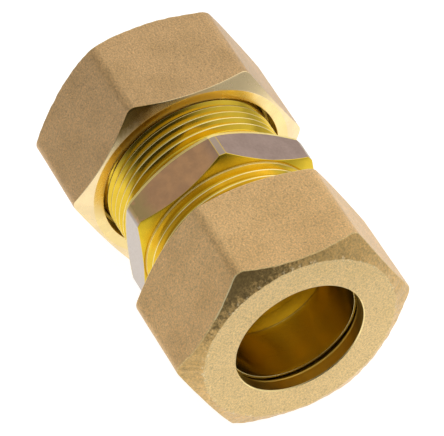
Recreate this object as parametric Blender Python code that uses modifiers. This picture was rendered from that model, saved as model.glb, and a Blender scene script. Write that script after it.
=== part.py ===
"""Straight compression coupling for 22 mm copper tube.

Five pieces: a turned body with a hexagon collar and a thread at each end, and for each end a
compression ring and a hexagon nut.  The pieces are modelled standing on the Z axis and hang on
one empty, which lays the coupling on its nut flats along +X with the table at Z = 0.
"""
import math

import bmesh
import bpy
from mathutils import Matrix

MM = 0.001

# --- Driving dimensions -------------------------------------------------------------------
# Thread M30 x 1.5, right-hand on both ends.
PITCH = 1.5 * MM
THREAD_CREST_R = 15.0 * MM
THREAD_DEPTH = 0.5413 * PITCH
THREAD_CLEARANCE = 0.2 * MM
FLANK = THREAD_DEPTH * math.tan(math.radians(30))
BODY_CREST_FLAT = PITCH / 8
NUT_CREST_FLAT = PITCH / 4
BODY_TURNS = 7 + 1 / 3
NUT_TURNS = 5.5
THREAD_ROOT_R = THREAD_CREST_R - THREAD_DEPTH

# Body: 22 mm tube socket from each end to a stop rib in the middle.
BODY_HALF = 17.5 * MM
SOCKET_R = 11.2 * MM
STOP_HALF = 1.5 * MM
STOP_R = 10.0 * MM
CONE_MOUTH_R = 13.35 * MM
CONE_SLOPE = 0.5
END_RIM_R = 13.75 * MM
END_CHAMFER = 0.5 * MM

# Collar: a 31 mm hexagon with turned corners and chamfered faces.
COLLAR_FLATS = 31.0 * MM
COLLAR_HALF = 3.6 * MM
COLLAR_CORNER_R = 17.55 * MM
COLLAR_FACE_R = 15.45 * MM
COLLAR_CHAMFER_SLOPE = 0.58
COLLAR_TURN = math.radians(3.5)
RUNOUT_R = 15.2 * MM
RUNOUT_DEPTH = 0.1 * MM

# Nut: a 36 mm forged hexagon.  Its local Z runs from the mouth at 0 to the outer face.
NUT_LENGTH = 18.8 * MM
NUT_FLATS = 36.0 * MM
NUT_CORNER_FILLET = 2.0 * MM
NUT_FACE_R = 16.77 * MM
NUT_FACE_SLOPE = 0.59
NUT_RIM_R = 17.6 * MM
NUT_RIM_SLOPE = 0.488
NUT_BLANK_R = 23.0 * MM
NUT_MOUTH_R = 15.8 * MM
NUT_MOUTH_DEPTH = 1.9 * MM
NUT_THREAD_START = 2.24 * MM
NUT_RELIEF_R = 15.4 * MM
NUT_RELIEF_END = 13.2 * MM
NUT_SHOULDER_Z = 13.8 * MM
NUT_BORE_R = 11.2 * MM
NUT_BORE_LENGTH = 2.6 * MM
NUT_EDGE = 0.15 * MM

# Compression ring: a barrel with a taper at each end.  Its local Z runs from its inner end.
RING_WIDTH = 10.0 * MM
RING_BORE_R = 11.1 * MM
RING_TIP_R = 11.5 * MM
RING_R = 12.45 * MM
RING_TAPER = (RING_R - RING_TIP_R) / CONE_SLOPE
RING_OFFSET = 5.5 * MM

# Each gap is from the middle of the body to a nut's mouth, and both nuts are the same piece.
# The gaps differ by five sixths of a pitch, and seen from its own end the second thread lags the
# first by the last sixth, so both nuts stand flat on the table in mesh.
NUT_A_GAP = 10.0 * MM
NUT_B_GAP = NUT_A_GAP + PITCH * 5 / 6
THREAD_B_LAG = (0.5 - BODY_TURNS) % 1

# The body's thread starts five turns and a half on the collar's side of the nut's first ridge.
# The half turn sets the nut's ridges in the middle of the body's grooves.
BODY_LEAD_TURNS = 5.5

STEPS = 36
FADE_STEPS = 6
THREAD_STRIP = 0.12 * MM
HEX_BEVEL_SEGMENTS = 3
CUTTER_MARGIN = 5.0 * MM
SHARP_ANGLE = math.radians(25)
MERGE_DISTANCE = 0.01 * MM

# --- Derived dimensions ---------------------------------------------------------------------
AXIS_HEIGHT = NUT_FLATS / 2
BODY_X = (NUT_B_GAP - NUT_A_GAP) / 2
NUT_ROOT_R = THREAD_CREST_R + THREAD_CLEARANCE
NUT_CREST_R = THREAD_ROOT_R + THREAD_CLEARANCE
BODY_SECTION = 2 * FLANK + BODY_CREST_FLAT
NUT_SECTION = 2 * FLANK + NUT_CREST_FLAT
NUT_RIDGE_MIDDLE = NUT_A_GAP + NUT_THREAD_START + NUT_SECTION / 2
BODY_THREAD_START = NUT_RIDGE_MIDDLE - BODY_SECTION / 2 - BODY_LEAD_TURNS * PITCH
BODY_THREAD_END = BODY_THREAD_START + BODY_TURNS * PITCH + BODY_SECTION


def clear_scene():
    for thing in list(bpy.data.objects):
        bpy.data.objects.remove(thing, do_unlink=True)


def collection(name):
    made = bpy.data.collections.new(name)
    bpy.context.scene.collection.children.link(made)
    return made


def metal(name, colour, roughness):
    made = bpy.data.materials.new(name)
    made.use_nodes = True
    shader = made.node_tree.nodes["Principled BSDF"]
    shader.inputs["Base Color"].default_value = (*colour, 1.0)
    shader.inputs["Roughness"].default_value = roughness
    shader.inputs["Metallic"].default_value = 1.0
    return made


def mesh_from(name, bm):
    bmesh.ops.recalc_face_normals(bm, faces=bm.faces)
    mesh = bpy.data.meshes.new(name)
    bm.to_mesh(mesh)
    bm.free()
    return mesh


def place(name, mesh, home, material=None):
    thing = bpy.data.objects.new(name, mesh)
    home.objects.link(thing)
    if material:
        mesh.materials.clear()
        mesh.materials.append(material)
    return thing


def as_cutter(thing):
    thing.hide_render = True
    thing.display_type = "WIRE"
    return thing


def boolean(thing, operation, other):
    step = thing.modifiers.new(operation.lower(), "BOOLEAN")
    step.operation = operation
    step.solver = "EXACT"
    step.object = other


def finished_mesh(thing, name):
    """The mesh that an object's modifiers make, with the sharp edges kept sharp."""
    bpy.context.view_layer.update()
    evaluated = thing.evaluated_get(bpy.context.evaluated_depsgraph_get())
    mesh = bpy.data.meshes.new_from_object(evaluated)
    mesh.name = name
    mesh.shade_smooth()
    mesh.set_sharp_from_angle(angle=SHARP_ANGLE)
    bpy.data.objects.remove(thing, do_unlink=True)
    return mesh


# --- Turned shapes ----------------------------------------------------------------------------
def turned(name, outline, home):
    """A ring turned from a closed outline of (radius, height) points, outer side first."""
    bm = bmesh.new()
    points = [bm.verts.new((radius, 0, height)) for radius, height in outline]
    for start, end in zip(points, points[1:] + points[:1]):
        bm.edges.new((start, end))
    mesh = bpy.data.meshes.new(name)
    bm.to_mesh(mesh)
    bm.free()
    thing = place(name, mesh, home)
    screw = thing.modifiers.new("turn", "SCREW")
    screw.axis = "Z"
    screw.angle = 2 * math.pi
    screw.steps = STEPS
    screw.render_steps = STEPS
    screw.use_merge_vertices = True
    screw.merge_threshold = MERGE_DISTANCE
    return thing


def circle(bm, radius, height):
    made = []
    for step in range(STEPS):
        angle = 2 * math.pi * step / STEPS
        made.append(bm.verts.new((radius * math.cos(angle), radius * math.sin(angle), height)))
    return made


def band(bm, first, second):
    for step in range(STEPS):
        after = (step + 1) % STEPS
        bm.faces.new((first[step], first[after], second[after], second[step]))


def thread(bm, below, above, start, turns, root_r, crest_r, crest_flat):
    """A right-hand helical ridge on the cylinder of root_r between the circles below and above.

    Each row of the helix is one trapezoid section, and the ridge fades into the cylinder at
    both ends.
    """
    section = ((0, 0), (FLANK, 1), (FLANK + crest_flat, 1), (2 * FLANK + crest_flat, 0))
    count = round(turns * STEPS)
    rows = []
    for step in range(count + 1):
        angle = 2 * math.pi * step / STEPS
        fade = min(1, step / FADE_STEPS, (count - step) / FADE_STEPS)
        row = []
        for rise, share in section:
            radius = root_r + (crest_r - root_r) * share * fade
            height = start + PITCH * step / STEPS + rise
            point = (radius * math.cos(angle), radius * math.sin(angle), height)
            row.append(bm.verts.new(point))
        rows.append(row)
    for step in range(count):
        here, after = rows[step], rows[step + 1]
        for low in range(3):
            bm.faces.new((here[low], after[low], after[low + 1], here[low + 1]))
        if step + STEPS < count:
            bm.faces.new((here[3], after[3], rows[step + STEPS + 1][0], rows[step + STEPS][0]))
    for step in range(STEPS - 1):
        bm.faces.new((below[step], below[step + 1], rows[step + 1][0], rows[step][0]))
    bm.faces.new((below[-1], below[0], *rows[0], rows[STEPS][0], rows[STEPS - 1][0]))
    first = count - STEPS
    for step in range(first, count):
        here = above[step % STEPS]
        after = above[(step + 1) % STEPS]
        tail = reversed(rows[count]) if step == first else ()
        bm.faces.new((rows[step][3], rows[step + 1][3], after, here, *tail))


def threaded(name, path, home):
    """A closed turned form.  Its path holds (radius, height) points and thread settings."""
    bm = bmesh.new()
    circles = [circle(bm, *item) if isinstance(item, tuple) else None for item in path]
    for index, item in enumerate(path):
        after = (index + 1) % len(path)
        if isinstance(item, dict):
            pair = (index - 1, after)
            low, high = sorted(pair, key=lambda spot: path[spot][1])
            thread(bm, circles[low], circles[high], **item)
        elif isinstance(path[after], tuple):
            band(bm, circles[index], circles[after])
    return place(name, mesh_from(name, bm), home)


def hexagon(name, flats, low, high, home, fillet=0.0, turn=0.0):
    """A hexagon prism with a flat towards +X when turn is 0, and rounded corners if asked."""
    bm = bmesh.new()
    corner_r = flats / 2 / math.cos(math.radians(30))
    bmesh.ops.create_cone(
        bm, cap_ends=True, segments=6, radius1=corner_r, radius2=corner_r, depth=high - low
    )
    bmesh.ops.rotate(bm, verts=bm.verts, matrix=Matrix.Rotation(turn, 3, "Z"))
    bmesh.ops.translate(bm, verts=bm.verts, vec=(0, 0, (low + high) / 2))
    if fillet:
        upright = [e for e in bm.edges if abs(e.verts[0].co.z - e.verts[1].co.z) > (high - low) / 2]
        bmesh.ops.bevel(
            bm,
            geom=upright,
            offset=fillet * math.tan(math.radians(30)),
            segments=HEX_BEVEL_SEGMENTS,
            profile=0.5,
            affect="EDGES",
        )
    return place(name, mesh_from(name, bm), home)


# --- Pieces -----------------------------------------------------------------------------------
def body_mesh(cutters):
    """Threaded tube with a cone and a socket at each end, joined to its hexagon collar."""
    socket_start = BODY_HALF - (CONE_MOUTH_R - SOCKET_R) / CONE_SLOPE
    ridge = dict(
        turns=BODY_TURNS, root_r=THREAD_ROOT_R, crest_r=THREAD_CREST_R, crest_flat=BODY_CREST_FLAT
    )
    path = [
        (END_RIM_R, -BODY_HALF),
        (THREAD_ROOT_R, -BODY_HALF + END_CHAMFER),
        (THREAD_ROOT_R, -BODY_THREAD_END - THREAD_STRIP),
        dict(start=-BODY_THREAD_END, **ridge),
        (THREAD_ROOT_R, -BODY_THREAD_START + THREAD_STRIP),
        (RUNOUT_R, -COLLAR_HALF + RUNOUT_DEPTH),
        (RUNOUT_R, COLLAR_HALF - RUNOUT_DEPTH),
        (THREAD_ROOT_R, BODY_THREAD_START - THREAD_STRIP),
        dict(start=BODY_THREAD_START, **ridge),
        (THREAD_ROOT_R, BODY_THREAD_END + THREAD_STRIP),
        (THREAD_ROOT_R, BODY_HALF - END_CHAMFER),
        (END_RIM_R, BODY_HALF),
        (CONE_MOUTH_R, BODY_HALF),
        (SOCKET_R, socket_start),
        (SOCKET_R, STOP_HALF),
        (STOP_R, STOP_HALF),
        (STOP_R, -STOP_HALF),
        (SOCKET_R, -STOP_HALF),
        (SOCKET_R, -socket_start),
        (CONE_MOUTH_R, -BODY_HALF),
    ]
    tube = threaded("body_tube", path, cutters)
    inner_r = (SOCKET_R + THREAD_ROOT_R) / 2
    corner_half = COLLAR_HALF - (COLLAR_CORNER_R - COLLAR_FACE_R) * COLLAR_CHAMFER_SLOPE
    outline = [
        (COLLAR_FACE_R, COLLAR_HALF),
        (COLLAR_CORNER_R, corner_half),
        (COLLAR_CORNER_R, -corner_half),
        (COLLAR_FACE_R, -COLLAR_HALF),
        (inner_r, -COLLAR_HALF),
        (inner_r, COLLAR_HALF),
    ]
    collar = as_cutter(turned("collar_disc", outline, cutters))
    reach = COLLAR_HALF + CUTTER_MARGIN
    # A corner of the collar stands almost straight up, half a side round from the nuts' flats.
    prism = hexagon(
        "collar_hexagon", COLLAR_FLATS, -reach, reach, cutters, turn=math.radians(30) + COLLAR_TURN
    )
    boolean(collar, "INTERSECT", as_cutter(prism))
    boolean(tube, "UNION", collar)
    return finished_mesh(tube, "coupling_body")


def nut_mesh(cutters):
    """Turned and threaded blank cut to a forged hexagon, mouth at height 0."""
    bore_start = NUT_LENGTH - NUT_BORE_LENGTH
    shoulder_r = NUT_BORE_R + bore_start - NUT_SHOULDER_Z
    thread_end = NUT_THREAD_START + NUT_TURNS * PITCH + NUT_SECTION
    path = [
        (NUT_RIM_R, 0),
        (NUT_BLANK_R, (NUT_BLANK_R - NUT_RIM_R) * NUT_RIM_SLOPE),
        (NUT_BLANK_R, NUT_LENGTH - (NUT_BLANK_R - NUT_FACE_R) * NUT_FACE_SLOPE),
        (NUT_FACE_R, NUT_LENGTH),
        (NUT_BORE_R + NUT_EDGE, NUT_LENGTH),
        (NUT_BORE_R, NUT_LENGTH - NUT_EDGE),
        (NUT_BORE_R, bore_start),
        (shoulder_r, NUT_SHOULDER_Z),
        (NUT_RELIEF_R, NUT_RELIEF_END),
        (NUT_RELIEF_R, thread_end + 3 * THREAD_STRIP),
        (NUT_ROOT_R, thread_end + THREAD_STRIP),
        dict(
            start=NUT_THREAD_START,
            turns=NUT_TURNS,
            root_r=NUT_ROOT_R,
            crest_r=NUT_CREST_R,
            crest_flat=NUT_CREST_FLAT,
        ),
        (NUT_ROOT_R, NUT_MOUTH_DEPTH),
        (NUT_MOUTH_R, NUT_MOUTH_DEPTH),
        (NUT_MOUTH_R, 0),
    ]
    blank = threaded("nut_blank", path, cutters)
    prism = hexagon(
        "nut_hexagon",
        NUT_FLATS,
        -CUTTER_MARGIN,
        NUT_LENGTH + CUTTER_MARGIN,
        cutters,
        fillet=NUT_CORNER_FILLET,
    )
    boolean(blank, "INTERSECT", as_cutter(prism))
    return finished_mesh(blank, "compression_nut")


def ring_mesh(cutters):
    """Barrel-shaped compression ring, inner end at height 0."""
    outline = [
        (RING_BORE_R, RING_WIDTH),
        (RING_TIP_R, RING_WIDTH),
        (RING_R, RING_WIDTH - RING_TAPER),
        (RING_R, RING_TAPER),
        (RING_TIP_R, 0),
        (RING_BORE_R, 0),
    ]
    return finished_mesh(turned("ring_blank", outline, cutters), "compression_ring")


def assemble(pieces, cutters):
    """Hangs the five pieces on one empty whose local Z becomes the world's +X."""
    axis = bpy.data.objects.new("coupling_axis", None)
    pieces.objects.link(axis)
    axis.location = (BODY_X, 0, AXIS_HEIGHT)
    axis.rotation_euler = (0, math.radians(90), 0)
    turned_brass = metal("turned_brass", (0.72, 0.50, 0.16), 0.30)
    forged_brass = metal("forged_brass", (0.62, 0.45, 0.24), 0.55)
    ring_brass = metal("ring_brass", (0.58, 0.40, 0.12), 0.25)

    body = place("coupling_body", body_mesh(cutters), pieces, turned_brass)
    body.parent = axis
    nut = nut_mesh(cutters)
    ring = ring_mesh(cutters)
    over = math.radians(180)
    ends = (("a", 1, NUT_A_GAP, 0.0, 0.0), ("b", -1, NUT_B_GAP, over, THREAD_B_LAG))
    for letter, side, gap, flip, lag in ends:
        # One pitch of travel is one turn, so a nut that stands further out has turned back.
        screwed = -2 * math.pi * ((gap - NUT_A_GAP) / PITCH + lag)
        made_nut = place("nut_" + letter, nut, pieces, forged_brass)
        made_nut.parent = axis
        made_nut.location = (0, 0, side * gap)
        made_nut.rotation_euler = (0, flip, screwed)
        made_ring = place("ring_" + letter, ring, pieces, ring_brass)
        made_ring.parent = axis
        made_ring.location = (0, 0, side * (gap + RING_OFFSET))
        made_ring.rotation_euler = (0, flip, 0)


def main():
    clear_scene()
    pieces = collection("compression_coupling")
    cutters = collection("cutters")
    assemble(pieces, cutters)


main()
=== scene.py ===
import math

import bmesh
import bpy
import numpy as np
from mathutils import Matrix, Vector, noise


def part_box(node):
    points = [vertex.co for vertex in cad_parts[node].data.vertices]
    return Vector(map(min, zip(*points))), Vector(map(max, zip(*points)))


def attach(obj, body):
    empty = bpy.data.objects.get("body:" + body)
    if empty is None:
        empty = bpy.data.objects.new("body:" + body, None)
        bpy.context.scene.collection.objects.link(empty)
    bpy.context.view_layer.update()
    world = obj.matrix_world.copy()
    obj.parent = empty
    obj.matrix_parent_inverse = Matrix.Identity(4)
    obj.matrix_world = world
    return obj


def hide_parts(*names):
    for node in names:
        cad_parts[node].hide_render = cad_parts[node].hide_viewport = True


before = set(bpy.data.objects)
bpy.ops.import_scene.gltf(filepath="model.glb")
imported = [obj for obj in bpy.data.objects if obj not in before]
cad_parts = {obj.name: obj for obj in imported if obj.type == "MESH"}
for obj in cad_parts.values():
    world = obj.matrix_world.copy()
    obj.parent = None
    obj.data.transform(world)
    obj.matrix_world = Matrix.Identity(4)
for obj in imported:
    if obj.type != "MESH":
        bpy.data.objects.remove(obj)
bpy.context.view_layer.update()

MM = 0.001

# --- Sizes of the coupling, in millimetres -------------------------------------------------------
PITCH = 1.5
CREST_R = 15.0
THREAD_DEPTH = 0.5413 * PITCH
ROOT_R = CREST_R - THREAD_DEPTH
FLANK = THREAD_DEPTH * math.tan(math.radians(30))
BODY_CREST_FLAT = PITCH / 8
BODY_SECTION = 2 * FLANK + BODY_CREST_FLAT
BODY_TURNS = 7 + 1 / 3
BODY_LEAD_TURNS = 5.5
NUT_CREST_FLAT = PITCH / 4
NUT_SECTION = 2 * FLANK + NUT_CREST_FLAT
NUT_TURNS = 5.5
THREAD_CLEARANCE = 0.2
THREAD_FADE_TURNS = 0.15
# The faces of a ridge's section that make up its crest.
CREST_FACES = slice(3, 8)

# The run-out is a cone from RUNOUT_R at the collar to the root, after a short land.  The
# margins keep it and the root's rings clear of the ridge.
RUNOUT_R = 15.1
RUNOUT_LENGTH = 0.85
RUNOUT_LEAST = 0.35
RUNOUT_LAND = (0.02, 0.28)
RUNOUT_FOOT = 1.1
RUNOUT_EASE = math.radians(50)
RIDGE_MARGIN = 0.06
CONE_MARGIN = 0.16

BODY_HALF = 17.5
SOCKET_R = 11.2
STOP_HALF = 1.5
STOP_R = 10.0
CONE_MOUTH_R = 13.35
CONE_SLOPE = 0.5
END_RIM_R = 13.75
END_LAND = 0.5
THREAD_MARGIN = 0.12

COLLAR_FLATS = 31.0
COLLAR_HALF = 3.6
COLLAR_CORNER_R = 17.55
COLLAR_FACE_R = 15.45
COLLAR_SLOPE = 0.58
COLLAR_TURN = math.radians(3.5)
COLLAR_FAR_FACE_R = COLLAR_FACE_R - 0.2
# Depth and width of the chamfer along the collar's far edge, painted pale as a highlight.
COLLAR_LIP = (0.15, 0.6)
STRIP_EDGE = 0.25
# Degrees round the axis: one corner of the collar is as dull as the flats beside it.
DULL_CORNER = 243.5
DULL_REACH = 5

NUT_FLATS = 36.0
NUT_FILLET = 2.0
NUT_FACE_R = 16.77
NUT_FACE_SLOPE = 0.59
NUT_RIM_R = 17.6
NUT_RIM_SLOPE = 0.488
NUT_MOUTH_R = 15.8
NUT_MOUTH_DEPTH = 1.9
NUT_THREAD_START = 2.24
# The first turn of the internal thread is left out, and the smooth mouth is that much deeper.
NUT_OPEN_TURNS = 1
NUT_RELIEF_R = 15.4
NUT_RELIEF_END = 13.2
NUT_SHOULDER = 13.8
NUT_BORE_R = 11.2
NUT_BORE_LENGTH = 2.25
NUT_BORE_CHAMFER = 0.15
NUT_BORE_LIP = 0.08
# Uneven edges, as (length, depth): the sawn face's outline twice, and the cone's height.
SAWN_FINE = (0.8, 0.16)
SAWN_SLOW = (4.0, 0.12)
SAWN_HEIGHT = (1.3, 0.07)
# Degrees round the axis: a pale burr along half of the edge of one flat, painted bright as a
# highlight.
BURR_AND_HIGHLIGHT_MIDDLE = 222
BURR_AND_HIGHLIGHT_REACH = 12

RING_BORE_R = 11.1
RING_TIP_R = 11.5
RING_R = 12.45
RING_LIP = 0.1
RING_CHAMFER = 0.22

# --- Places, from the frame --------------------------------------------------------------------
BODY_LOW, BODY_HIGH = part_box("coupling_body")
AXIS = (BODY_LOW + BODY_HIGH) / 2
NUT_LOW, NUT_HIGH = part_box("nut_a")
NUT_LENGTH = (NUT_HIGH.x - NUT_LOW.x) / MM
RING_LOW, RING_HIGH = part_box("ring_a")
RING_WIDTH = (RING_HIGH.x - RING_LOW.x) / MM
FIRST_GAP = (NUT_LOW.x - AXIS.x) / MM


def lay_along_x(start_x, flipped=False, turn=0.0):
    """From a piece's own frame, standing on Z in millimetres, to its place on the X axis."""
    place = Matrix.Translation((start_x, AXIS.y, AXIS.z))
    lay = Matrix.Rotation(math.radians(90), 4, "Y")
    flip = Matrix.Rotation(math.pi if flipped else 0.0, 4, "Y")
    return place @ lay @ flip @ Matrix.Rotation(turn, 4, "Z") @ Matrix.Scale(MM, 4)


# --- Lofted skins --------------------------------------------------------------------------------
def hexagon_angles(turn, near, plain):
    """Angles round a hexagon: near holds the ones close to a corner, in degrees from it, and
    plain is the number of equal steps from there to the next corner's."""
    flat = np.linspace(near[-1], 60 + near[0], plain + 1)[1:-1]
    pattern = np.concatenate([near, flat])
    angles = np.radians(np.concatenate([60 * side + pattern for side in range(6)])) + turn
    return np.sort(np.mod(angles, 2 * math.pi))


def from_corner(angles, turn):
    """Angle to the nearest corner of a hexagon that has a corner at the angle turn."""
    return np.mod(angles - turn + math.pi / 6, math.pi / 3) - math.pi / 6


def hexagon_radius(angles, flats, turn, fillet):
    """Radius of a hexagon with rounded corners."""
    off = np.abs(from_corner(angles, turn))
    flat = flats / 2 / np.cos(math.pi / 6 - off)
    centre = (flats / 2 - fillet) / math.cos(math.pi / 6)
    inside = np.maximum(fillet**2 - (centre * np.sin(off)) ** 2, 0)
    rounded = centre * np.cos(off) + np.sqrt(inside)
    return np.where(off < fillet_reach(flats, fillet), rounded, flat)


def fillet_reach(flats, fillet):
    """Angle from a hexagon's corner to the end of its rounding."""
    return math.pi / 6 - math.atan(math.tan(math.pi / 6) * (1 - 2 * fillet / flats))


WANDER_R = 17.0


def wander(angles, size, depth, seed):
    """A small uneven drift round the axis, size long at WANDER_R and depth high."""
    reach = WANDER_R / size
    return np.array(
        [
            depth * noise.noise(Vector((reach * math.cos(angle), reach * math.sin(angle), seed)))
            for angle in angles
        ]
    )


class Skin:
    """Rings of points round the Z axis, joined by bands and threads into one closed surface."""

    def __init__(self, angles):
        self.angles = angles
        self.count = len(angles)
        self.points = []
        self.total = 0
        self.quads = []
        self.looks = []
        self.others = []
        self.other_looks = []
        self.grains = []

    def add_points(self, radius, height, angle, grain):
        block = np.stack([radius * np.cos(angle), radius * np.sin(angle), height], -1)
        first = self.total
        self.points.append(block.reshape(-1, 3))
        self.grains.append(np.broadcast_to(grain, radius.shape).reshape(-1))
        self.total += radius.size
        return first

    def ring(self, radius, height, grain=0.0):
        radius = np.broadcast_to(np.asarray(radius, float), self.angles.shape)
        height = np.broadcast_to(np.asarray(height, float), self.angles.shape)
        first = self.add_points(radius, height, self.angles, grain)
        return np.arange(first, first + self.count)

    def add_quads(self, quads, look):
        self.quads.append(quads.reshape(-1, 4))
        self.looks.append(np.broadcast_to(look, quads.size // 4))

    def band(self, first, second, look):
        quads = np.stack([first, np.roll(first, -1), np.roll(second, -1), second], -1)
        self.add_quads(quads, look)

    def thread(self, below, above, start, turns, profile, cap, look, crest):
        """A right-hand helical ridge between two rings.  profile holds its section's
        (rise, radius) points, and cap(radius, height, turns so far) trims it near its ends."""
        n, k = self.count, len(profile)
        steps = round(turns * n)
        step = np.arange(steps + 1)
        angle = self.angles[step % n] + 2 * math.pi * (step // n)
        rise = np.array([p[0] for p in profile])
        radius = np.array([p[1] for p in profile])
        height = start + PITCH * angle[:, None] / (2 * math.pi) + rise[None, :]
        radius = cap(np.broadcast_to(radius, height.shape), height, step[:, None] / n)
        base = self.add_points(radius, height, np.broadcast_to(angle[:, None], height.shape), 0.0)
        at = base + np.arange((steps + 1) * k).reshape(steps + 1, k)
        flank = np.stack([at[:-1, :-1], at[1:, :-1], at[1:, 1:], at[:-1, 1:]], -1)
        across = np.full(k - 1, look)
        across[CREST_FACES] = crest
        self.add_quads(flank, np.tile(across, steps))
        upper = at[n:, 0]
        lower = at[: steps + 1 - n, -1]
        self.add_quads(np.stack([lower[:-1], lower[1:], upper[1:], upper[:-1]], -1), look)
        foot = np.stack([below[:-1], below[1:], at[1:n, 0], at[: n - 1, 0]], -1)
        self.add_quads(foot, look)
        self.others.append([below[-1], below[0], *at[0], at[n, 0], at[n - 1, 0]])
        first = steps - n
        column = (first + np.arange(n + 1)) % n
        last = at[first:, -1]
        head = np.stack([last[1:-1], last[2:], above[column[2:]], above[column[1:-1]]], -1)
        self.add_quads(head, look)
        joint = [at[first, -1], at[first + 1, -1], above[column[1]], above[column[0]]]
        self.others.append([*joint, *at[steps][::-1]])
        self.other_looks += [look, look]


def corner_arc(before, corner, after, fillet, steps):
    """Points of a round corner between two straight runs, for every angle at once."""
    u, v = before - corner, after - corner
    length_u, length_v = np.linalg.norm(u, axis=0), np.linalg.norm(v, axis=0)
    u, v = u / length_u, v / length_v
    half = np.arccos(np.clip((u * v).sum(0), -1, 1)) / 2
    reach = np.minimum(fillet / np.tan(half), 0.45 * np.minimum(length_u, length_v))
    middle = u + v
    middle = middle / np.maximum(np.linalg.norm(middle, axis=0), 1e-9)
    centre = corner + middle * (reach / np.cos(half))
    start, end = corner + u * reach - centre, corner + v * reach - centre
    swing = np.maximum(math.pi - 2 * half, 1e-3)
    made = []
    for step in range(steps + 1):
        share = step / steps
        blend = np.sin((1 - share) * swing) * start + np.sin(share * swing) * end
        made.append(centre + blend / np.sin(swing))
    return made


ARC_STEPS = 4


def chain(skin, corners):
    """Rings along a run of corners.  Each corner is (radius, height, fillet, pieces of the run
    that leads to it, look of that run, grain, and a look of the fillet if it has its own)."""
    shape = skin.angles.shape
    spots = [np.stack([np.broadcast_to(part, shape) * 1.0 for part in c[:2]]) for c in corners]
    rings, looks = [], []
    last = None
    for index, (_, _, fillet, pieces, look, grain, *arc_look) in enumerate(corners):
        if 0 < index < len(corners) - 1 and fillet > 0:
            arc = corner_arc(spots[index - 1], spots[index], spots[index + 1], fillet, ARC_STEPS)
        else:
            arc = [spots[index]]
        if last is not None:
            for step in range(1, pieces):
                between = last + (arc[0] - last) * step / pieces
                rings.append(skin.ring(between[0], between[1], grain))
                looks.append(look)
        for number, spot in enumerate(arc):
            rings.append(skin.ring(spot[0], spot[1], grain))
            looks.append(arc_look[0] if arc_look and number else look)
        last = arc[-1]
    return rings, looks


def sewn(skin, corners):
    """The rings along a run of corners, joined by bands."""
    rings, looks = chain(skin, corners)
    for first, second, look in zip(rings, rings[1:], looks[1:]):
        skin.band(first, second, look)
    return rings


def thread_profile(root_r, crest_r, crest_flat, root_fillet, crest_fillet):
    """Section of one ridge as (rise, radius) points, with its corners rounded."""
    root_half = (PITCH - 2 * FLANK - crest_flat) / 2
    outline = [
        (-root_half, root_r),
        (0, root_r),
        (FLANK, crest_r),
        (FLANK + crest_flat, crest_r),
        (2 * FLANK + crest_flat, root_r),
        (2 * FLANK + crest_flat + root_half, root_r),
    ]
    fillets = (0, root_fillet, crest_fillet, crest_fillet, root_fillet, 0)
    points = [np.array(point)[:, None] for point in outline]
    made = []
    for index in range(1, 5):
        arc = corner_arc(points[index - 1], points[index], points[index + 1], fillets[index], 2)
        made += [(float(spot[0, 0]), float(spot[1, 0])) for spot in arc]
    return made


def fade(radius, root_r, share, turns):
    """The radius pulled back to the root over the first and last part of a thread."""
    near = np.clip(np.minimum(share, turns - share) / THREAD_FADE_TURNS, 0, 1)
    return root_r + (radius - root_r) * near


def piece_from(skin, name, matrix, materials, body, cad_node):
    """The skin as one visual piece, on its body and in place of its CAD node."""
    mesh = bpy.data.meshes.new(name)
    points = np.concatenate(skin.points)
    grains = np.concatenate(skin.grains)
    faces = np.concatenate(skin.quads).tolist() + [list(map(int, f)) for f in skin.others]
    looks = np.concatenate(skin.looks + [np.array(skin.other_looks, int)])
    mesh.from_pydata(points.tolist(), [], faces)
    mesh.polygons.foreach_set("material_index", looks.astype(np.int32))
    bm = bmesh.new()
    bm.from_mesh(mesh)
    bmesh.ops.recalc_face_normals(bm, faces=bm.faces)
    bm.to_mesh(mesh)
    bm.free()
    roughen(mesh, grains)
    mesh.transform(matrix)
    mesh.shade_smooth()
    for material in materials:
        mesh.materials.append(material)
    piece = bpy.data.objects.new(name, mesh)
    bpy.context.scene.collection.objects.link(piece)
    even = piece.modifiers.new("even_normals", "WEIGHTED_NORMAL")
    even.weight = 50
    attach(piece, body)
    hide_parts(cad_node)


def roughen(mesh, grains):
    """Moves forged skin in and out by hundredths of a millimetre, as a blasted forging has it."""
    if not grains.any():
        return
    normals = np.empty(len(mesh.vertices) * 3)
    mesh.vertex_normals.foreach_get("vector", normals)
    normals = normals.reshape(-1, 3)
    points = np.empty(len(mesh.vertices) * 3)
    mesh.vertices.foreach_get("co", points)
    points = points.reshape(-1, 3)
    for index in np.nonzero(grains)[0]:
        spot = Vector(points[index])
        slow = noise.noise(spot * 0.22) * 0.05
        pitted = noise.noise(spot * 1.9 + Vector((7, 3, 1))) * 0.012
        points[index] += normals[index] * (slow + pitted) * grains[index]
    mesh.vertices.foreach_set("co", points.reshape(-1))
    mesh.update()


# --- Materials -----------------------------------------------------------------------------------
def node(tree, kind, inputs=None, **settings):
    made = tree.nodes.new("ShaderNode" + kind)
    for name, value in settings.items():
        setattr(made, name, value)
    for name, value in (inputs or {}).items():
        if isinstance(value, bpy.types.NodeSocket):
            tree.links.new(value, made.inputs[name])
        else:
            made.inputs[name].default_value = value
    return made


def noise_of(tree, spot, size, detail=3.0, rough=0.55):
    """Noise with features of the given size in millimetres."""
    scale = (1 / (size * MM),) * 3
    mapped = node(tree, "Mapping", {"Vector": spot, "Scale": scale}).outputs[0]
    inputs = {"Vector": mapped, "Scale": 1.0, "Detail": detail, "Roughness": rough}
    return node(tree, "TexNoise", inputs).outputs[0]


def ramp(tree, value, low, high, to_low=0.0, to_high=1.0):
    """A smooth step from to_low, where the value is low, to to_high, where it is high."""
    inputs = {0: value, 1: low, 2: high, 3: to_low, 4: to_high}
    return node(tree, "MapRange", inputs, interpolation_type="SMOOTHSTEP").outputs[0]


def times(tree, first, second):
    return node(tree, "Math", {0: first, 1: second}, operation="MULTIPLY").outputs[0]


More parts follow.
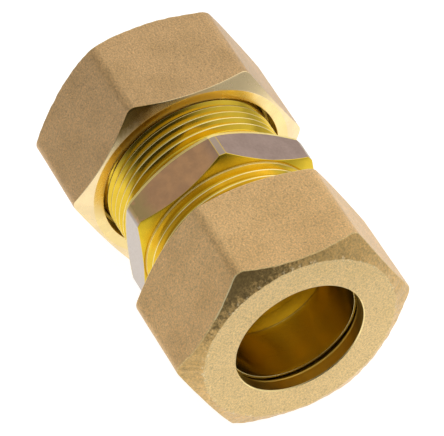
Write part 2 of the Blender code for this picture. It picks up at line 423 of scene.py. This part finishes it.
def blend(tree, share, first, second):
    """A colour between two sockets or plain colours."""
    made = node(tree, "Mix", data_type="RGBA")
    for index, value in ((0, share), (6, first), (7, second)):
        if isinstance(value, bpy.types.NodeSocket):
            tree.links.new(value, made.inputs[index])
        else:
            made.inputs[index].default_value = value if index == 0 else (*value, 1)
    return made.outputs[2]


def start_metal(name):
    """A new metal, its node tree, its shader and the place of the point to be shaded."""
    made = bpy.data.materials.new(name)
    made.use_nodes = True
    tree = made.node_tree
    shader = tree.nodes["Principled BSDF"]
    shader.inputs["Metallic"].default_value = 1.0
    spot = node(tree, "TexCoord").outputs["Object"]
    return made, tree, shader, spot


def connect(tree, shader, colour, rough, normal=None):
    tree.links.new(colour, shader.inputs["Base Color"])
    tree.links.new(rough, shader.inputs["Roughness"])
    if normal is not None:
        tree.links.new(normal, shader.inputs["Normal"])


def bump(tree, height, depth, normal=None):
    """Relief of the given depth in millimetres."""
    inputs = {"Height": height, "Distance": depth * MM, "Strength": 1.0}
    if normal is not None:
        inputs["Normal"] = normal
    return node(tree, "Bump", inputs).outputs[0]


def off_axis(tree, spot):
    """The spot as seen from the coupling's axis."""
    inputs = {0: spot, 1: (0, AXIS.y, AXIS.z)}
    return node(tree, "VectorMath", inputs, operation="SUBTRACT").outputs[0]


def axis_distance(tree, off):
    flat = node(tree, "VectorMath", {0: off, 1: (0, 1, 1)}, operation="MULTIPLY").outputs[0]
    return node(tree, "VectorMath", {0: flat}, operation="LENGTH").outputs["Value"]


def turned_spot(tree, spot):
    """Coordinates along the axis and away from it, so that tool marks run round it."""
    off = off_axis(tree, spot)
    along = node(tree, "SeparateXYZ", {0: off}).outputs[0]
    return node(tree, "CombineXYZ", {"X": along, "Y": axis_distance(tree, off)}).outputs[0]


def darken_corner(tree, spot, tone, angle, start, full, colour, ragged):
    """The tone with a darker colour, a painted shade, in one direction from the axis, from start
    to full millimetres out, with a ragged edge."""
    way = (0, math.cos(math.radians(angle)), math.sin(math.radians(angle)))
    inputs = {0: off_axis(tree, spot), 1: way}
    reach = node(tree, "VectorMath", inputs, operation="DOT_PRODUCT").outputs["Value"]
    patchy = noise_of(tree, spot, 0.7, rough=0.7)
    shift = ramp(tree, patchy, 0.2, 0.8, -ragged * MM, ragged * MM)
    reach = node(tree, "Math", {0: reach, 1: shift}, operation="ADD").outputs[0]
    return blend(tree, ramp(tree, reach, start * MM, full * MM), tone, colour)


def edge_flecks(tree, spot, tone):
    """The tone with pale flecks along a nut's outer face edge: wear and painted highlight."""
    radius = axis_distance(tree, off_axis(tree, spot))
    inner = ramp(tree, radius, (NUT_FACE_R - 0.55) * MM, (NUT_FACE_R - 0.1) * MM)
    outer = ramp(tree, radius, (NUT_FACE_R + 0.15) * MM, (NUT_FACE_R + 0.7) * MM, 1.0, 0.0)
    patchy = ramp(tree, noise_of(tree, spot, 0.75, rough=0.7), 0.56, 0.64, 0.0, 0.75)
    share = times(tree, times(tree, inner, outer), patchy)
    return blend(tree, share, tone, (0.92, 0.76, 0.45))


# The painted shade in one corner of the sawn cone: its direction, and where it starts and is full.
CONE_SHADE = (120, 13.2, 18.7)
CONE_SHADE_RAGGED = 3.5
# The darker side of the machined faces: its direction, its width and its raggedness.
SHADE_TOWARD = 124
SHADE_WIDTH = 2.0
SHADE_RAGGED = 0.3


def forged_brass(name, colour, worn, depth, rough=(0.42, 0.54), size=0.33, dark=None, edge=False):
    """Shot-blasted forging: a fine even grain of dimples over slow changes of tone.  dark is
    the colour of painted shade in a corner, and edge adds worn flecks with painted highlight."""
    made, tree, shader, spot = start_metal(name)
    slow = noise_of(tree, spot, 7.0)
    grain = noise_of(tree, spot, size, detail=4.0, rough=0.75)
    fleck = noise_of(tree, spot, size, detail=2.0, rough=0.7)
    tone = blend(tree, ramp(tree, slow, 0.35, 0.68), colour, worn)
    # One corner painted darker: painted shade.
    if dark:
        tone = darken_corner(tree, spot, tone, *CONE_SHADE, dark, CONE_SHADE_RAGGED)
    # Pale flecks on the face's edge: wear and painted highlight.
    if edge:
        tone = edge_flecks(tree, spot, tone)
    speck = ramp(tree, fleck, 0.28, 0.72, 0.74, 1.19)
    glint = ramp(tree, noise_of(tree, spot, size * 1.1, detail=1.0), 0.66, 0.76, 1.0, 1.25)
    pits = ramp(tree, noise_of(tree, spot, size * 1.7, detail=2.0), 0.28, 0.40, 0.76, 1.0)
    speck = times(tree, times(tree, speck, glint), pits)
    shaded = node(tree, "VectorMath", {0: tone, 1: speck}, operation="MULTIPLY").outputs[0]
    roughness = ramp(tree, fleck, 0.35, 0.65, *rough)
    connect(tree, shader, shaded, roughness, bump(tree, grain, depth))
    shader.inputs["Coat Weight"].default_value = 0.3
    shader.inputs["Coat Roughness"].default_value = 0.35
    return made


def turned_brass(name, colour, rough, lines, dark=None, dark_from=0.0):
    """Machined brass with fine tool lines round the axis.  dark is its colour on the darker
    side, from dark_from millimetres out."""
    made, tree, shader, spot = start_metal(name)
    along = noise_of(tree, turned_spot(tree, spot), 0.12, detail=1.0)
    slow = noise_of(tree, spot, 4.0)
    tone = blend(tree, ramp(tree, slow, 0.3, 0.7), colour, tuple(c * 0.9 for c in colour))
    if dark:
        shade = (SHADE_TOWARD, dark_from, dark_from + SHADE_WIDTH, dark, SHADE_RAGGED)
        tone = darken_corner(tree, spot, tone, *shade)
    roughness = ramp(tree, slow, 0.3, 0.7, rough * 0.85, rough * 1.15)
    connect(tree, shader, tone, roughness, bump(tree, along, lines))
    return made


# Metres across and up, where the tones of the collar's flats change.
FLATS_MEET_Y = (-0.004, 0.0)
SIDE_FLAT_TOP_Z = (0.0254, 0.0262)
STAIN_Y = (-0.0150, -0.0118)


def oxide_brass(name):
    """The collar's flats: a brown and a violet grey oxide on the upper ones, a paler tone on
    the sides that is painted sheen, and a stain near one corner."""
    made, tree, shader, spot = start_metal(name)
    patches = ramp(tree, noise_of(tree, spot, 3.5), 0.35, 0.65)
    grain = noise_of(tree, spot, 0.4)
    far = blend(tree, patches, (0.335, 0.24, 0.195), (0.29, 0.205, 0.165))
    near = blend(tree, patches, (0.71, 0.40, 0.195), (0.57, 0.325, 0.17))
    _, across, up = node(tree, "SeparateXYZ", {0: spot}).outputs
    tone = blend(tree, ramp(tree, across, *FLATS_MEET_Y), near, far)
    # The side flats painted paler: a painted sheen.
    tone = blend(tree, ramp(tree, up, *SIDE_FLAT_TOP_Z[::-1]), tone, (0.60, 0.53, 0.47))
    stain = ramp(tree, across, *STAIN_Y, 1.0, 0.0)
    patchy = ramp(tree, noise_of(tree, spot, 2.2), 0.38, 0.52, 0.2, 1.0)
    share = times(tree, times(tree, stain, patchy), ramp(tree, up, *SIDE_FLAT_TOP_Z))
    tone = blend(tree, share, tone, (0.50, 0.36, 0.15))
    rough = ramp(tree, grain, 0.35, 0.65, 0.36, 0.48)
    connect(tree, shader, tone, rough, bump(tree, grain, 0.02))
    return made


FORGED = forged_brass("forged", (0.79, 0.515, 0.225), (0.71, 0.455, 0.19), 0.20)
# Nut B's forged brass is the same brass painted darker: painted shade for the less light that
# falls on nut B.
FORGED_SHADED_B = forged_brass("forged_b", (0.665, 0.425, 0.19), (0.59, 0.375, 0.16), 0.20)
FACE = forged_brass("forged_face", (0.79, 0.58, 0.265), (0.755, 0.55, 0.24), 0.14, edge=True)
CONE = forged_brass(
    "sawn_cone",
    (0.75, 0.49, 0.18),
    (0.64, 0.42, 0.15),
    0.24,
    rough=(0.30, 0.42),
    size=0.4,
    # The cone's corner painted darker as painted shade.
    dark=(0.23, 0.155, 0.055),
    edge=True,
)
MACHINED = turned_brass("machined", (0.95, 0.75, 0.42), 0.26, 0.0015, (0.32, 0.205, 0.055), 17.15)
THREAD = turned_brass("thread", (0.80, 0.55, 0.05), 0.2, 0.001)
GOLD = turned_brass("gold", (0.72, 0.50, 0.03), 0.24, 0.001)
# Pale brass on thread crests and thin edges, painted as a highlight line.
FRINGE_HIGHLIGHT = turned_brass("fringe_highlight", (0.96, 0.79, 0.36), 0.3, 0.001)
# A burr along one flat's edge, painted bright: wear and painted highlight.
BURR_AND_HIGHLIGHT = turned_brass("burr_and_highlight", (1.0, 0.86, 0.52), 0.6, 0.001)
# Pale brass on the collar's far chamfer: a painted highlight.
LIP = turned_brass("lip", (1.0, 0.82, 0.32), 0.5, 0.001)
MOUTH = turned_brass("mouth", (0.85, 0.63, 0.12), 0.45, 0.001)
WALL = turned_brass("wall", (0.95, 0.68, 0.15), 0.34, 0.001)
ANNULUS = turned_brass("annulus", (0.98, 0.78, 0.36), 0.27, 0.0025, (0.46, 0.285, 0.055), 15.5)
STRIP = turned_brass("strip", (0.43, 0.33, 0.25), 0.35, 0.0025)
OXIDE = oxide_brass("oxide")
BORE = turned_brass("bore", (0.76, 0.58, 0.11), 0.23, 0.0003)


# --- Pieces --------------------------------------------------------------------------------------
def near_runout(skin, start):
    """Length of the land, end of the cone and foot of the ridge, for the near thread, whose
    ridge starts inside the collar."""
    free = start - (PITCH - BODY_SECTION) / 2 + PITCH * skin.angles / (2 * math.pi)
    # It narrows again where the helix has gone once round.
    kept = np.clip((2 * math.pi - skin.angles) / RUNOUT_EASE, 0, 1)
    free = free[0] + (free - free[0]) * kept
    land = np.clip(free - RUNOUT_LEAST - COLLAR_HALF, *RUNOUT_LAND)
    cone_end = np.minimum(free - CONE_MARGIN, COLLAR_HALF + RUNOUT_LENGTH)
    foot = np.minimum(free - RIDGE_MARGIN, COLLAR_HALF + RUNOUT_FOOT)
    return land, cone_end, foot


def far_runout(skin, start):
    """End of the cone on the far side, which widens from where the ridge goes into the
    collar."""
    seam = round(BODY_TURNS * skin.count) % skin.count
    to_go = (skin.angles[seam] - skin.angles) % (2 * math.pi)
    ridge_end = PITCH * (skin.angles[0] - to_go) / (2 * math.pi) - start
    length = RUNOUT_LENGTH * np.clip((2 * math.pi - to_go) / RUNOUT_EASE, 0, 1)
    return np.maximum(ridge_end + RIDGE_MARGIN, -COLLAR_HALF - length)


def collar_looks(skin, turned, strip, edge, flat):
    """Look of the collar between neighbouring angles: a bright strip at each corner with an edge
    beside it that is a painted highlight line, between dull flats.  turned is half the strip's
    angle in degrees."""
    middles = skin.angles + 0.5 * np.diff(skin.angles, append=skin.angles[0] + 2 * math.pi)
    off = np.degrees(np.abs(from_corner(middles, COLLAR_TURN)))
    # The bands at the strip's edges take the thread brass as a painted highlight line.
    looks = np.where(off < turned - STRIP_EDGE, strip, np.where(off < turned, edge, flat))
    dull = np.abs(np.degrees(middles) - DULL_CORNER) < DULL_REACH
    return np.where(dull, flat, looks)


def make_body():
    """The body: a hexagon collar between two external threads, and a tube socket with a
    seating cone at each end."""
    flats = COLLAR_FLATS / 2
    turned = math.degrees(math.pi / 6 - math.acos(flats / COLLAR_CORNER_R))
    near = [turned + step for step in (-1.6, -0.8, -STRIP_EDGE, 0, STRIP_EDGE, 0.8)]
    near = np.array([-angle for angle in near[::-1]] + [0.0] + near)
    skin = Skin(hexagon_angles(COLLAR_TURN, near, 40))
    off = from_corner(skin.angles, COLLAR_TURN)
    across = np.minimum(flats / np.cos(math.pi / 6 - np.abs(off)), COLLAR_CORNER_R)
    collar_edge = COLLAR_HALF - (across - COLLAR_FACE_R) * COLLAR_SLOPE
    socket_start = BODY_HALF - (CONE_MOUTH_R - SOCKET_R) / CONE_SLOPE
    nut_ridge = FIRST_GAP + NUT_THREAD_START + NUT_SECTION / 2
    start = nut_ridge - BODY_SECTION / 2 - BODY_LEAD_TURNS * PITCH
    end = start + BODY_TURNS * PITCH + BODY_SECTION
    profile = thread_profile(ROOT_R, CREST_R, BODY_CREST_FLAT, 0.08, 0.04)
    land, cone_end, foot = near_runout(skin, start)

    def cap(radius, height, share):
        faded = fade(radius, ROOT_R, share, BODY_TURNS)
        chamfer = END_RIM_R + (BODY_HALF - np.abs(height))
        return np.minimum(faded, np.maximum(chamfer, ROOT_R))

    thread, oxide, bore, strip, gold, fringe_highlight, lip = range(7)
    materials = (THREAD, OXIDE, BORE, STRIP, GOLD, FRINGE_HIGHLIGHT, LIP)
    flank = collar_looks(skin, turned, strip, thread, oxide)
    lip_depth, lip_width = COLLAR_LIP
    lower = [
        (CONE_MOUTH_R, -BODY_HALF, 0, 1, bore, 0),
        (END_RIM_R, -BODY_HALF, 0.1, 1, thread, 0),
        (ROOT_R, -BODY_HALF + END_LAND, 0.1, 1, thread, 0),
        (ROOT_R, -end - THREAD_MARGIN, 0, 1, thread, 0),
    ]
    middle = [
        (ROOT_R, far_runout(skin, start), 0, 1, thread, 0),
        (RUNOUT_R, -COLLAR_HALF, 0.04, 1, thread, 0),
        (COLLAR_FAR_FACE_R, -COLLAR_HALF, 0.05, 2, thread, 0),
        # The chamfer at the collar's far edge, painted as a highlight.
        (across - lip_depth, -collar_edge, 0.06, 4, thread, 0, lip),
        (across, -collar_edge + lip_width, 0.1, 2, lip, 0),
        (across, collar_edge, 0.12, 20, flank, 0.4, thread),
        (COLLAR_FACE_R, COLLAR_HALF, 0.04, 4, gold, 0),
        # The collar's near fillet and land take the painted highlight line.
        (RUNOUT_R, COLLAR_HALF, 0.03, 2, gold, 0, fringe_highlight),
        (RUNOUT_R, COLLAR_HALF + land, 0.06, 1, fringe_highlight, 0),
        (ROOT_R, cone_end, 0.05, 3, thread, 0),
        (ROOT_R, foot, 0, 1, thread, 0),
    ]
    upper = [
        (ROOT_R, end + THREAD_MARGIN, 0, 1, thread, 0),
        (ROOT_R, BODY_HALF - END_LAND, 0.1, 1, thread, 0),
        (END_RIM_R, BODY_HALF, 0.1, 1, thread, 0),
        (CONE_MOUTH_R, BODY_HALF, 0.1, 1, thread, 0),
        (SOCKET_R, socket_start, 0.2, 4, bore, 0),
        (SOCKET_R, STOP_HALF, 0.2, 4, bore, 0),
        (STOP_R, STOP_HALF, 0.15, 1, bore, 0),
        (STOP_R, -STOP_HALF, 0.15, 1, bore, 0),
        (SOCKET_R, -STOP_HALF, 0.2, 1, bore, 0),
        (SOCKET_R, -socket_start, 0.2, 4, bore, 0),
        (CONE_MOUTH_R * 0.5 + SOCKET_R * 0.5, -(BODY_HALF + socket_start) / 2, 0, 2, bore, 0),
    ]
    low, mid, high = (sewn(skin, corners) for corners in (lower, middle, upper))
    # The crests of both threads take the painted highlight line.
    skin.thread(low[-1], mid[0], -end, BODY_TURNS, profile, cap, thread, fringe_highlight)
    skin.thread(mid[-1], high[0], start, BODY_TURNS, profile, cap, thread, fringe_highlight)
    skin.band(high[-1], low[0], bore)
    place = lay_along_x(AXIS.x)
    piece_from(skin, "threaded_body", place, materials, "body", "coupling_body")


def make_nut(letter, flipped, forging):
    """A nut: a turned mouth and an internal thread at its start, a sawn outer face with the
    tube's hole at its end."""
    forged, machined, bore, face, cone, annulus, mouth, wall, burr_and_highlight = range(9)
    low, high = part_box("nut_" + letter)
    gap = (AXIS.x - high.x if flipped else low.x - AXIS.x) / MM
    corner_turn = math.radians(30)
    reach = math.degrees(fillet_reach(NUT_FLATS, NUT_FILLET))
    near = np.concatenate([[-reach - 1.2], np.linspace(-reach, reach, 11), [reach + 1.2]])
    skin = Skin(hexagon_angles(corner_turn, near, 44))
    seed = 3.7 if flipped else 1.3
    across = hexagon_radius(skin.angles, NUT_FLATS, corner_turn, NUT_FILLET)
    rim_edge = (across - NUT_RIM_R) * NUT_RIM_SLOPE
    fine = wander(skin.angles, *SAWN_FINE, seed)
    face_r = NUT_FACE_R + fine + wander(skin.angles, *SAWN_SLOW, seed)
    uneven = wander(skin.angles, *SAWN_HEIGHT, seed + 5)
    face_edge = NUT_LENGTH - (across - face_r) * NUT_FACE_SLOPE + uneven
    mouth_end = NUT_MOUTH_DEPTH + NUT_OPEN_TURNS * PITCH
    thread_start = NUT_THREAD_START + NUT_OPEN_TURNS * PITCH
    turns = NUT_TURNS - NUT_OPEN_TURNS
    bore_start = NUT_LENGTH - NUT_BORE_LENGTH
    shoulder_r = NUT_BORE_R + bore_start - NUT_SHOULDER
    root_r = CREST_R + THREAD_CLEARANCE
    crest_r = ROOT_R + THREAD_CLEARANCE
    thread_end = NUT_THREAD_START + NUT_TURNS * PITCH + NUT_SECTION
    # The face's edge fillet, with the burr painted bright as a highlight along part of it.
    edge = np.where(np.abs(np.degrees(skin.angles) - BURR_AND_HIGHLIGHT_MIDDLE) < BURR_AND_HIGHLIGHT_REACH, burr_and_highlight, face)
    profile = thread_profile(root_r, crest_r, NUT_CREST_FLAT, 0.05, 0.08)

    def cap(radius, height, share):
        return fade(radius, root_r, share, turns)

    outside = [
        (root_r, mouth_end, 0, 1, mouth, 0),
        (NUT_MOUTH_R, mouth_end, 0.1, 2, mouth, 0),
        (NUT_MOUTH_R, 0, 0.08, 4, mouth, 0, annulus),
        (NUT_RIM_R, 0, 0.15, 3, annulus, 0, machined),
        (across, rim_edge, 0.12, 8, machined, 0, machined),
        (across, face_edge, 0.22, 60, forged, 1, edge),
        (face_r, NUT_LENGTH, 0.25, 14, cone, 1.2, face),
        (NUT_BORE_R + 1.0, NUT_LENGTH, 0, 15, face, 0.6),
        (NUT_BORE_R + NUT_BORE_CHAMFER, NUT_LENGTH, 0.06, 3, face, 0, annulus),
        (NUT_BORE_R, NUT_LENGTH - NUT_BORE_CHAMFER, 0.06, 2, annulus, 0),
        (NUT_BORE_R, bore_start + 0.2, 0.1, 4, wall, 0),
        (NUT_BORE_R - NUT_BORE_LIP, bore_start, 0.08, 2, wall, 0),
        (NUT_BORE_R, bore_start - 0.15, 0, 1, bore, 0),
        (shoulder_r, NUT_SHOULDER, 0.3, 2, bore, 0),
        (NUT_RELIEF_R, NUT_RELIEF_END, 0.3, 1, bore, 0),
        (NUT_RELIEF_R, thread_end + 3 * THREAD_MARGIN, 0.1, 1, bore, 0),
        (root_r, thread_end + THREAD_MARGIN, 0, 1, bore, 0),
    ]
    rings = sewn(skin, outside)
    skin.thread(rings[0], rings[-1], thread_start, turns, profile, cap, bore, bore)
    # The far thread is out of step with the near one by the turns between them.
    lag = (0.5 - BODY_TURNS) % 1 if flipped else 0.0
    turn = 2 * math.pi * ((gap - FIRST_GAP) / PITCH + lag)
    place = lay_along_x(high.x if flipped else low.x, flipped, turn)
    materials = (forging, MACHINED, BORE, FACE, CONE, ANNULUS, MOUTH, WALL, BURR_AND_HIGHLIGHT)
    body = "nut_" + letter
    piece_from(skin, "forged_nut_" + letter, place, materials, body, body)


def make_ring(letter, flipped):
    """A compression ring, tapered at both ends."""
    low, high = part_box("ring_" + letter)
    skin = Skin(np.linspace(0, 2 * math.pi, 192, endpoint=False))
    taper = (RING_R - RING_TIP_R) / CONE_SLOPE
    satin, fringe_highlight = range(2)
    corners = [
        (RING_BORE_R, RING_WIDTH / 2, 0, 1, satin, 0),
        # The ring's end face and its bore edge take the painted highlight line.
        (RING_BORE_R, RING_WIDTH + RING_LIP, 0.06, 4, satin, 0, fringe_highlight),
        (RING_TIP_R, RING_WIDTH + RING_LIP, 0.12, 1, fringe_highlight, 0),
        (RING_R, RING_WIDTH - taper, 0.8, 4, satin, 0),
        (RING_R, taper, 0.8, 2, satin, 0),
        (RING_TIP_R, 0, 0.06, 4, satin, 0),
        # The chamfer at the ring's other end takes the painted highlight line.
        (RING_BORE_R + RING_CHAMFER, 0, 0.03, 1, fringe_highlight, 0),
        (RING_BORE_R, 2 * RING_CHAMFER, 0.05, 3, satin, 0),
        (RING_BORE_R, RING_WIDTH / 4, 0, 2, satin, 0),
    ]
    rings = sewn(skin, corners)
    skin.band(rings[-1], rings[0], satin)
    place = lay_along_x(high.x if flipped else low.x, flipped)
    body = "ring_" + letter
    piece_from(skin, "olive_" + letter, place, (BORE, FRINGE_HIGHLIGHT), body, body)


make_body()
# Nut B takes the darker forged brass, which is painted shade.
for letter, flipped, forging in (("a", False, FORGED), ("b", True, FORGED_SHADED_B)):
    make_nut(letter, flipped, forging)
    make_ring(letter, flipped)


# --- Camera, floor and light ---------------------------------------------------------------------
CAMERA_ANGLES = (63.83, 46.76, 0.80)
CAMERA_DISTANCE = 628.3 * MM
CAMERA_ASIDE = 0.09 * MM
CAMERA_RAISED = 0.03 * MM
CAMERA_LENS = 314.8


def make_camera():
    """A long lens that looks at the middle of the coupling from above nut A's end."""
    azimuth, elevation, roll = (math.radians(angle) for angle in CAMERA_ANGLES)
    back = Vector(
        (
            math.sin(azimuth) * math.cos(elevation),
            -math.cos(azimuth) * math.cos(elevation),
            math.sin(elevation),
        )
    )
    level_right = Vector((math.cos(azimuth), math.sin(azimuth), 0))
    level_up = back.cross(level_right)
    right = level_right * math.cos(roll) + level_up * math.sin(roll)
    up = back.cross(right)
    data = bpy.data.cameras.new("camera")
    data.lens = CAMERA_LENS
    data.sensor_width = 36
    data.clip_start, data.clip_end = 0.05, 20
    camera = bpy.data.objects.new("camera", data)
    bpy.context.scene.collection.objects.link(camera)
    spot = AXIS + back * CAMERA_DISTANCE + right * CAMERA_ASIDE + up * CAMERA_RAISED
    turn = Matrix((right, up, back)).transposed().to_4x4()
    camera.matrix_world = Matrix.Translation(spot) @ turn
    bpy.context.scene.camera = camera


# Just under the forged grain of the lower flats.
FLOOR_HEIGHT = -0.06 * MM
FLOOR_REACH = 6.0


def make_floor():
    """A table that glows white round the coupling and less so further out and to one side."""
    mesh = bpy.data.meshes.new("floor")
    signs = ((-1, -1), (1, -1), (1, 1), (-1, 1))
    corners = [(x * FLOOR_REACH, y * FLOOR_REACH) for x, y in signs]
    mesh.from_pydata([(*corner, FLOOR_HEIGHT) for corner in corners], [], [(0, 1, 2, 3)])
    floor = bpy.data.objects.new("floor", mesh)
    bpy.context.scene.collection.objects.link(floor)
    paint = bpy.data.materials.new("floor")
    paint.use_nodes = True
    tree = paint.node_tree
    shader = tree.nodes["Principled BSDF"]
    spot = node(tree, "TexCoord").outputs["Object"]
    along = node(tree, "SeparateXYZ", {0: spot}).outputs[0]
    reach = node(tree, "VectorMath", {0: spot}, operation="LENGTH").outputs["Value"]
    sideways = ramp(tree, along, 0.07, 0.3, 1.0, 0.06)
    outwards = ramp(tree, reach, 0.07, 0.13, 0.92, 0.28)
    shader.inputs["Base Color"].default_value = (0.35, 0.35, 0.35, 1)
    shader.inputs["Roughness"].default_value = 0.9
    shader.inputs["Emission Color"].default_value = (1, 1, 1, 1)
    tree.links.new(times(tree, sideways, outwards), shader.inputs["Emission Strength"])
    mesh.materials.append(paint)


ROOM_LIGHT = 0.42
DARKEST = 0.03
PATCHES = (
    # direction, dot product where it starts, where it is full, change of the room's light
    ((-0.52, 0.52, 0.68), 0.30, 0.92, 0.72),
    ((0.20, 0.95, -0.10), 0.30, 0.95, 0.40),
    ((-0.66, -0.12, 0.74), 0.80, 0.99, -0.22),
    ((-0.60, -0.60, 0.50), 0.90, 0.99, 0.10),
    ((0.93, -0.20, 0.15), 0.70, 0.94, -0.45),
)


def make_light():
    """A pale studio, brighter above and behind, with a dark room behind the camera."""
    world = bpy.data.worlds.new("studio")
    world.use_nodes = True
    tree = world.node_tree
    way = node(tree, "TexCoord").outputs["Generated"]
    level = ROOM_LIGHT
    for toward, start, full, change in PATCHES:
        inputs = {0: way, 1: Vector(toward).normalized()}
        turned = node(tree, "VectorMath", inputs, operation="DOT_PRODUCT").outputs["Value"]
        share = ramp(tree, turned, start, full, 0.0, change)
        level = node(tree, "Math", {0: share, 1: level}, operation="ADD").outputs[0]
    level = node(tree, "Math", {0: level, 1: DARKEST}, operation="MAXIMUM").outputs[0]
    tree.links.new(level, tree.nodes["Background"].inputs["Strength"])
    tree.nodes["Background"].inputs["Color"].default_value = (1, 1, 1, 1)
    bpy.context.scene.world = world


make_camera()
make_floor()
make_light()
bpy.context.scene.view_settings.view_transform = "Standard"
